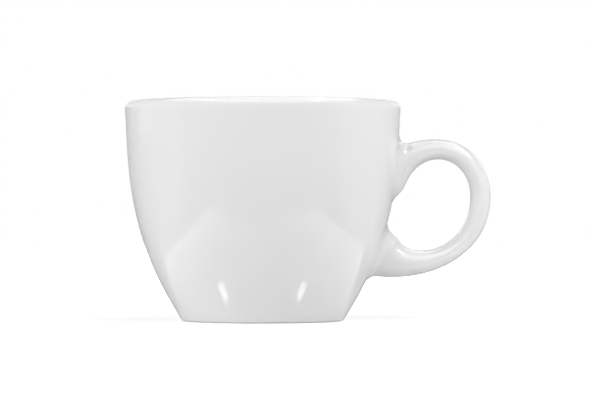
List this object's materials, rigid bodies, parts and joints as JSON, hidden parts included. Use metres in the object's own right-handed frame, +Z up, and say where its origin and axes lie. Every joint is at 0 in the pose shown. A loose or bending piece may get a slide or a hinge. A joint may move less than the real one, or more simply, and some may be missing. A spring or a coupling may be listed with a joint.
{
  "type": "espresso cup",
  "caption": "Small thick-walled white porcelain coffee cup, a deep bowl tapering to a turned foot ring, with an ear-shaped loop handle joined to the wall with slip.",
  "frame": {"origin": "centre of the foot ring, on the surface the cup stands on", "axes": "+Z up along the bowl's axis, +X from the axis towards the handle, Y across the handle's width"},
  "size_m": [0.085, 0.064, 0.051],
  "materials": {
    "glazed_porcelain": "glossy clear glaze over white porcelain, bare on the flat of the foot ring",
    "glazed_slip": "glossy clear glaze, slightly pooled in the joint"
  },
  "bodies": {
    "root": {"cup_body": "glazed_porcelain", "handle": "glazed_porcelain", "upper_slip_joint": "glazed_slip", "lower_slip_joint": "glazed_slip"}
  },
  "joints": []
}
